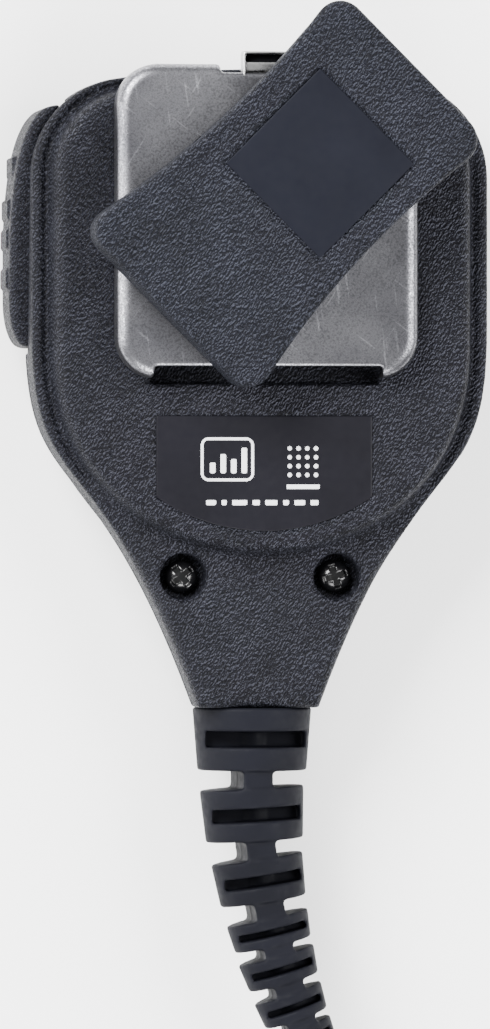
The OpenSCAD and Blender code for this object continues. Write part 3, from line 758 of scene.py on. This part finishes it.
# ---------------------------------------------------------------- talk button and socket cover
def talk_button():
    """The rubber button, with four ribs across its outer side."""
    low, high = box_mm("ptt_button")
    g = Grid(low - 0.6, high + 0.6, 0.22)
    inner, top, bottom = high[0] - 3.2, high[1], low[1]
    outer = low[0] + 0.4
    profile = np.concatenate([
        [(inner, bottom), (inner, 10.5), (inner + 3.2, top)],
        bezier([(outer + 7.1, top), (outer + 3.5, top - 0.3), (outer + 0.4, top - 3.5),
                (outer, top - 19.5)], 20),
        bezier([(outer, bottom + 7), (outer, bottom + 3), (outer + 1.2, bottom), (outer + 3.2, bottom)], 12),
    ])
    body = rounded(g.inside_outline(profile), button_band(g, 0), 1.1)
    half_rib = 1.45
    for y, inset in ((7.5, 0.9), (1.4, 0.2), (-2.8, 0.05), (-8.4, 0.0)):
        face = low[0] + inset
        rib = block(g.x, g.y, g.z, (face, y - half_rib, low[2] + 1.3),
                    (face + 1.6, y + half_rib, low[2] + 8.9), 0.35)
        body = join(body, rib, 0.3)
    return surface("talk_button", g, body)


def socket_cover():
    """The rubber strip over the earphone socket: a plug behind, a grip and a hinge at its ends."""
    g = Grid((22, -38, 5), (38, -18, 18), 0.2)
    out, along = g.turned(JACK_AT, JACK_TURN)
    up = g.z - JACK_AT[2]
    hinge_end, grip_end, half_up = -5.7, 6.3, 4.5
    body = block(out, along, up, (-0.9, hinge_end, -half_up), (3, grip_end, half_up), 0.7)
    body = rounded(body, g.inside_outline(HOUSING) - 0.65, 0.4)
    grip = block(out, along, up, (-0.8, 5.6, -1.6), (0.05, 7.1, 1.6), 0.3)
    body = join(body, grip, 0.4)
    plug_r, hinge_r = 1.6, 0.42
    body = join(body, raised(np.hypot(along, up) - plug_r, out, -1.7, -0.7, 0.2))
    hinge = raised(np.hypot(out + 0.48, along - hinge_end) - hinge_r, up, -half_up, half_up, 0.1)
    body = join(body, hinge, 0.2)
    for at in (2.4, 3.4, 4.4):
        body = carve(body, block(out, along, up, (-0.25, at - 0.22, -3), (2, at + 0.22, 3), 0.1), 0.2)
    return surface("socket_cover", g, body)


dress(piece(talk_button(), "talk_button", "button_rubber", "ptt_button"), SHELL)
dress(piece(socket_cover(), "socket_cover", "rubber_black", "jack_cover"), RUBBER)


# ---------------------------------------------------------------- steel plate and latch
def clip_plate():
    """Pressed steel with a rolled rim, open at its lower end between two hooks and notched at its top."""
    g = Grid(plate_low - 0.6, plate_high + 0.6, 0.3)
    half_w, low_y, high_y = plate_high[0], plate_low[1], plate_high[1]
    mid_y, half_h = (low_y + high_y) / 2, (high_y - low_y) / 2
    thick, corner = 0.8, 6.0

    def outline(inset):
        qx = np.abs(g.x) - half_w + corner
        qy = np.abs(g.y - mid_y) - half_h + corner
        far = np.hypot(np.maximum(qx, 0), np.maximum(qy, 0))
        return far + np.minimum(np.maximum(qx, qy), 0) - corner + inset

    body = raised(outline(0), g.z, BACK_Z - 10, PLATE_Z, 1.8)
    body = carve(body, raised(outline(thick), g.z, 0, PLATE_Z - thick, 1.0))
    body = meet(body, BACK_Z - g.z)
    mouth_half, notch_half = 16.2, 6.8
    mouth = block(g.x, g.y, g.z, (-mouth_half, low_y - 5, 0), (mouth_half, low_y + 5, PLATE_Z - thick))
    body = carve(body, mouth, 0.2)
    between_hooks = block(g.x, g.y, g.z, (-mouth_half, low_y - 5, 0), (mouth_half, -21, OVER_CLIP), 0.4)
    body = carve(body, between_hooks, 0.2)
    notch = block(g.x, g.y, g.z, (-notch_half, high_y - 1.2, 0), (notch_half, high_y + 3, OVER_CLIP), 0.3)
    body = carve(body, notch, 0.3)
    return surface("steel_plate", g, carve(body, np.hypot(g.x, g.y) - 2))


def latch():
    """The plate's latch: a tongue whose end is bent up into a shallow channel."""
    low, high = box_mm("latch_tongue")
    g = Grid(low - 0.5, high + 0.5, 0.14)
    z, half = PLATE_Z - TONGUE_DROP, TONGUE_HALF
    body = block(g.x, g.y, g.z, (-half, 6, z), (half, high[1], z + 0.6), 0.15)
    rim = block(g.x, g.y, g.z, (-half, 19.4, z), (half, high[1], high[2]), 0.3)
    inner, floor = 3.3, z + 0.5
    hollow = block(g.x, g.y, g.z, (-inner, 21.9, floor), (inner, high[1] - 0.4, OVER_CLIP), 0.2)
    well = block(g.x, g.y, g.z, (-inner, 18, floor), (inner, 20.5, OVER_CLIP), 0.1)
    shelf = block(g.x, g.y, g.z, (-inner, 20, high[2] - 0.9), (inner, 22.4, OVER_CLIP))
    rim = carve(carve(carve(rim, hollow, 0.1), well), shelf, 0.1)
    foot = block(g.x, g.y, g.z, (-half, 6, low[2]), (half, 9, z + 0.3), 0.2)
    return surface("latch_tongue_steel", g, join(join(body, rim, 0.2), foot, 0.5))


def latch_painted_shade():
    """A dark sheet on the floor of the latch's channel: painted shade."""
    z = PLATE_Z - 1.8
    high = box_mm("latch_tongue")[1]
    g = Grid((-4, 21.5, z - 0.6), (4, high[1], z + 0.8), 0.12)
    body = block(g.x, g.y, g.z, (-3.35, 21.85, z - 0.2), (3.35, high[1] - 0.35, z + 0.25), 0.1)
    return surface("latch_painted_shade", g, body)


dress(piece(clip_plate(), "housing", "plate_steel", "clip_plate"), PLATE)
dress(piece(latch(), "housing", "small_steel", "latch_tongue"), STEEL)
# The latch's channel floor is a dark sheet of painted shade.
dress(piece(latch_painted_shade(), "housing", "smooth_plastic"), BLACK)


# ---------------------------------------------------------------- clip arm
def below_line(g, steps):
    """Distance below a line that climbs along X through the given points."""
    xs, zs = zip(*steps)
    return np.interp(g.x, xs, zs) - g.z


def clip_arm():
    """A waisted plate with a skirt towards the jaw, and a square recess for its inlay."""
    thumb, jaw, half, taper, waist = 28.9, 20.6, 16.3, 0.9, 2.5
    g = Grid((-jaw - 1, ARM_V - half - 1.5, PLATE_Z - 0.2), (thumb + 1, ARM_V + half + 1.5, ARM_TOP + 1),
             0.25)
    v = g.y - ARM_V
    reach, middle = (thumb + jaw) / 2, (thumb - jaw) / 2
    t = (g.x - middle) / reach
    half_here = half - taper * t - waist * (1 - t * t)
    tilt = np.hypot(1, (2 * waist * t - taper) / reach)

    def outline(inset):
        return rounded(np.abs(g.x - middle) - reach + inset, (np.abs(v) - half_here) / tilt + inset, 4.2)

    under, foot_z = ARM_TOP - ARM_SHEET, PLATE_Z + 0.5
    top = raised(outline(0), g.z, under, ARM_TOP, 1.05)
    rim = carve(raised(outline(0), g.z, foot_z - 4, ARM_TOP, 1.5),
                meet(raised(outline(2), g.z, 0, under), -15 - g.x))
    skirt_end = 22
    rim = meet(rim, below_line(g, [(-40, foot_z), (-13, foot_z), (3, PLATE_Z + 0.95), (12, PLATE_Z + 2.8),
                                   (skirt_end, under)]), 0.3)
    rim = meet(rim, g.x - skirt_end)
    body = join(top, rim)
    body = carve(body, raised(outline(0) + 2.2, g.z, ARM_TOP - 0.05, ARM_TOP + 3), 0.3)
    body = carve(body, raised(np.hypot(g.x, g.z - PIVOT_Z) - 1.05, g.y, -40, 40))
    square = np.maximum(np.abs(g.x - INLAY_U), np.abs(g.y - INLAY_V)) - INLAY_HALF
    body = carve(body, raised(square, g.z, INLAY_FLOOR, ARM_TOP + 5), 0.15)
    return surface("clip_arm_case", g, body, turn=CLIP_TURN)


def clip_inlay():
    """Thumb rest: a smooth square scoop, deepest along its side towards the jaw."""
    low = INLAY_FLOOR
    g = Grid((INLAY_U - 10, INLAY_V - 10, low - 0.5), (INLAY_U + 10, INLAY_V + 10, ARM_TOP + 0.3), 0.15)
    u, v = g.x - INLAY_U, g.y - INLAY_V
    square = np.maximum(np.abs(u), np.abs(v)) - INLAY_HALF + 0.24
    top = ARM_TOP - 0.3 + 0.18 * smooth((u + INLAY_HALF) / 6.5) - 0.05 * smooth((np.abs(v) - 8.2) / 1.6)
    body = meet(raised(square, g.z, low, ARM_TOP + 2), g.z - top, 0.12)
    return surface("clip_thumb_rest", g, body, turn=CLIP_TURN)


def clip_pad():
    """A rubber strip under the jaw, ribbed along its length."""
    low_z = PLATE_Z + 0.15
    g = Grid((-20.1, ARM_V - 11.4, low_z - 0.3), (-16, ARM_V + 11.4, low_z + 0.6), 0.12)
    pad_start, pad_end, pad_half = -19.6, -16.4, 11
    body = block(g.x, g.y, g.z, (pad_start, ARM_V - pad_half, low_z),
                 (pad_end, ARM_V + pad_half, low_z + 0.35), 0.1)
    for u in (-18.8, -18.0, -17.2):
        body = carve(body, raised(np.hypot(g.x - u, g.z - low_z + 0.05) - 0.2, g.y, -20, 20), 0.05)
    return surface("clip_pad_ribbed", g, body, turn=CLIP_TURN)


def leaf_spring():
    """A bent strip from under the rivet to the arm's underside."""
    base, tip = PLATE_Z + 1.6, ARM_TOP - ARM_SHEET - 0.05
    g = Grid((-4.6, -4.1, base - 0.6), (16.6, 4.1, tip + 0.6), 0.15)
    heights = [base + 0.25, base + 0.25, base + 0.6, tip - 0.9, tip - 0.5, tip - 0.25]
    centre = np.interp(g.x, [-4, 6.5, 8, 13.5, 14.5, 16], heights)
    half_thick, half_width, hole_r = 0.25, 3.5, 1.95
    body = raised(np.abs(g.z - centre) - half_thick, g.x, -4, 16, 0.08)
    body = meet(body, np.abs(g.y) - half_width, 0.1)
    return surface("leaf_spring", g, carve(body, np.hypot(g.x, g.y) - hole_r), turn=CLIP_TURN)


spring = piece(leaf_spring(), "swivel", "small_steel", "clip_spring")
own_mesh(spring)
dress(spring, STEEL)
dress(piece(clip_arm(), "clip", "clip_plastic", "clip_arm"), CLIP)
dress(piece(clip_inlay(), "clip", "smooth_plastic", "clip_inlay"), SMOOTH)
dress(piece(clip_pad(), "clip", "rubber_black", "clip_pad"), RUBBER)


# ---------------------------------------------------------------- strain relief
def boot_frame(g, s):
    """Coordinates at a place along the strain relief: across, back along it, and up."""
    turn = max(0.0, (s - BOOT_STRAIGHT) / BOOT_BEND_R)
    x = BOOT_BEND_R * (1 - math.cos(turn))
    y = NECK_Y - min(s, BOOT_STRAIGHT) - BOOT_BEND_R * math.sin(turn)
    across, back = g.turned((x, y), math.degrees(turn))
    return across, back, g.z - CORD_Z


def strain_relief():
    """Slotted rings on a round core, joined by webs, with a flange inside the neck."""
    low, high = box_mm("strain_relief")
    g = Grid(low - 0.8, high + 0.8, 0.26)
    body = np.full(g.shape, 99.0)
    slot_share = 0.26
    for i, (start, end, d0, d1) in enumerate(RINGS):
        long = end - start
        slot = slot_share * long
        across, back, up = boot_frame(g, (start + end) / 2)
        around = np.hypot(across, up)
        taper = (d0 + d1) / 4 + (d0 - d1) / 2 * back / long
        ring = raised(around - taper, back, -long / 2, long / 2, 0.3)
        window = raised(np.abs(across) - d1 / 2 + 0.7, back, -slot / 2, slot / 2, 0.2)
        ring = carve(ring, np.maximum(window, BOOT_FLOOR_HALF - np.abs(up)), 0.3)
        body = join(body, ring)
        body = join(body, raised(around - BOOT_CORE_R, back, -long / 2, long / 2), 0.3)
        if i:
            gap = start - RINGS[i - 1][1]
            across, back, up = boot_frame(g, (start + RINGS[i - 1][1]) / 2)
            core = raised(np.hypot(across, up) - BOOT_CORE_R, back, -gap / 2 - 0.8, gap / 2 + 0.8)
            high = d0 / 2 - 0.4
            web = block(across, back, up, (-BOOT_WEB_HALF, -gap / 2 - 0.4, -high),
                        (BOOT_WEB_HALF, gap / 2 + 0.4, high))
            body = join(body, join(core, web, 0.3), 0.6)
    around = np.hypot(g.x, g.z - CORD_Z)
    throat_r, flange_r = 5.1, 6
    body = join(body, raised(around - throat_r, g.y, NECK_Y - 0.1, NECK_Y + WALL + 1.5))
    body = join(body, raised(around - flange_r, g.y, NECK_Y + WALL + 1.4, NECK_Y + WALL + 3.2))
    return surface("cable_boot", g, body)


dress(piece(strain_relief(), "housing", "rubber_black", "strain_relief"), RUBBER)


# ---------------------------------------------------------------- screws and label
def screw(index, x, turn):
    """A pan-head screw with a cross recess, turned about its axis."""
    g = Grid((-2.7, -2.7, SCREW_SEAT - 12.4), (2.7, 2.7, SCREW_SEAT + 2.4), 0.12)
    reach = np.hypot(g.x, g.y)
    z = g.z - SCREW_SEAT
    head_r, dome_r, shank_r, shank_length = 2.3, 3.1, 1.25, 12
    dome = meet(reach - head_r, np.sqrt(reach**2 + (z + 1.0) ** 2) - dome_r, 0.3)
    head = meet(dome, -z)
    body = join(head, raised(reach - shank_r, z, -shank_length, 0.2, 0.3))
    a, b = g.turned((0, 0), turn)
    for p, q in ((a, b), (b, a)):
        arm = np.abs(p) - 0.46 + 0.12 * np.maximum(z - 1.2, -1)
        flare = np.maximum(arm, np.abs(q) - 1.75 + 0.5 * np.maximum(1.6 - z, 0))
        body = carve(body, np.maximum(flare, 0.9 - z), 0.12)
    obj = surface(f"rear_screw_{index}", g, body)
    obj.data.transform(Matrix.Translation(Vector((x, SCREW_Y, 0)) * MM))
    return obj


for number, (x, turn) in enumerate(((-SCREW_X, 38), (SCREW_X, 17)), 1):
    black = dress(piece(screw(number, x, turn), "housing", "screw_black"), BLACK_GLOSS)
    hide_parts("rear_screws")


def label():
    """The smooth film in its recess."""
    g = Grid((-16.5, -45.2, BACK_Z - 1), (16.5, -27, BACK_Z + 0.5), 0.2)
    return surface("label_film", g, raised(g.inside_outline(LABEL), g.z, LABEL_FLOOR, LABEL_FACE, 0.06))


def label_print():
    """Generic marks: a framed bar chart, a dot grid over a bar, and a row of dashes."""
    face = LABEL_FACE
    g = Grid((-11, -42, face - 0.2), (9, -30, face + 0.3), 0.1)
    marks = np.abs(raised(np.abs(g.x + 5.3) - 3.6, g.y, -37.0, -31.2, 0.9)) - 0.22
    for x, height in ((-7.4, 1.6), (-5.9, 2.8), (-4.4, 2.1), (-2.9, 3.7)):
        marks = join(marks, raised(np.abs(g.x - x) - 0.42, g.y, -36.1, -36.1 + height, 0.2))
    for i in range(4):
        for j in range(4):
            marks = join(marks, np.hypot(g.x - 3.6 - 1.25 * i, g.y + 36.3 - 1.25 * j) - 0.36)
    marks = join(marks, raised(np.abs(g.x - 5.5) - 2.4, g.y, -38.3, -37.6, 0.1))
    x, dash_gap = -8.4, 0.72
    for width in (1.5, 0.8, 2.2, 1.1, 1.8, 0.9, 1.6, 1.2):
        marks = join(marks, raised(np.abs(g.x - x - width / 2) - width / 2, g.y, -40.6, -39.8, 0.15))
        x += width + dash_gap
    return surface("label_marks", g, raised(marks, g.z, face - 0.08, face + 0.07, 0.03))


dress(piece(label(), "housing", "label", "label_plate"), CHARCOAL)
dress(piece(label_print(), "housing", "label"), PRINT)


# ---------------------------------------------------------------- plug and tie
def plug_body():
    """A rounded shell with finger grooves on both faces and a seam around it."""
    low, high = box_mm("plug_body")
    g = Grid(low - 0.6, high + 0.6, 0.25)
    mid = (low + high) / 2
    x, y, z = g.x - mid[0], g.y - mid[1], g.z - mid[2]
    half = (high - low) / 2
    flat = rounded(np.abs(x) - half[0], np.abs(z) - half[2], 3.6)
    body = raised(flat, y, -half[1], half[1], 1.4)
    for at in (-4.5, -2.25, 0.0, 2.25, 4.5):
        grip = raised(np.hypot(y - at, np.abs(z) - half[2] - 0.25) - 0.75, x, -8, 8, 0.3)
        body = carve(body, grip, 0.3)
    seam = raised(np.abs(z) - 0.12, x, -20, 20)
    body = carve(body, rounded(seam, -flat - 0.25), 0.1)
    return surface("plug_shell", g, body)


def plug_relief():
    """A tapering sleeve with four grooves."""
    low, high = box_mm("plug_relief")
    g = Grid(low - 0.6, high + 0.6, 0.2)
    mid = (low + high) / 2
    along = high[1] - g.y
    around = np.hypot(g.x - mid[0], g.z - mid[2])
    length = high[1] - low[1]
    body = raised(around - (2.9 + 1.5 * along / length), g.y, low[1], high[1], 0.4)
    for at in (2.2, 4.8, 7.4, 10.0):
        body = carve(body, np.maximum(np.abs(along - at) - 0.65, 3.0 + 0.3 * at / 10 - around), 0.3)
    return surface("plug_strain_relief", g, body)


def plug_pin(node):
    """A turned pin with a rounded tip, a neck behind it and two grooves."""
    low, high = box_mm(node)
    g = Grid(low - 0.4, high + 0.4, 0.1)
    mid, r = (low + high) / 2, (high[0] - low[0]) / 2
    out = g.y - low[1]
    shares = np.array([0.45, 0.62, 0.94, 0.7, 0.86, 1, 1])
    radius = np.interp(out, [0, 0.25, 1.0, 1.9, 2.4, 2.8, 20], shares * r)
    for at in (4.6, 7.2):
        radius = radius - 0.07 * np.exp(-((out - at) / 0.22) ** 4)
    body = raised(np.hypot(g.x - mid[0], g.z - mid[2]) - radius, g.y, low[1], high[1], 0.1)
    return surface(f"{node}_turned", g, body)


def cord_tie():
    """A woven strap around both runs of curls, its end lapped over on top."""
    low, high = box_mm("cord_tie")
    g = Grid(low - 0.8, high + (0.8, 0.8, 1.0), 0.25)
    mid, half = (low + high) / 2, (high - low) / 2
    x, z = g.x - mid[0], g.z - mid[2]
    loop = np.hypot(np.maximum(np.abs(x) - half[0] + half[2], 0), z) - half[2]
    body = raised(np.abs(loop + 0.25) - 0.25, g.y, low[1], high[1], 0.2)
    lap = raised(np.abs(loop - 0.15) - 0.25, g.y, low[1] + 0.4, high[1] - 0.4, 0.2)
    body = join(body, meet(lap, np.maximum(np.abs(x + 1) - 6, -z), 0.3), 0.2)
    return surface("cord_strap", g, body)


dress(piece(plug_body(), "housing", "smooth_plastic", "plug_body"), SMOOTH)
dress(piece(plug_relief(), "housing", "rubber_black", "plug_relief"), RUBBER)
for pin in ("plug_pin_large", "plug_pin_small"):
    dress(piece(plug_pin(pin), "housing", "brass_pin", pin), BRASS)
dress(piece(cord_tie(), "housing", "cloth_black", "cord_tie"), CLOTH)


# ---------------------------------------------------------------- CAD nodes that stay
LOOKS = {
    "shell_gasket": RUBBER, "grille_cloth": CLOTH, "speaker_frame": STEEL, "speaker_cone": PAPER,
    "speaker_magnet": STEEL, "mic_holder": RUBBER, "mic_capsule": STEEL, "circuit_board": BOARD,
    "board_chips": SMOOTH, "board_screws": STEEL, "ptt_switch": SMOOTH, "ptt_seal": RUBBER,
    "earphone_jack": SMOOTH, "swivel_washer": NYLON, "swivel_base": STEEL, "swivel_rivet": STEEL,
    "clip_pins": STEEL, "cable_clamp": STEEL, "inner_cable": CABLE, "inner_wires": WIRE,
}
for node, material in LOOKS.items():
    dress(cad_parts[node], material)

bpy.context.view_layer.update()
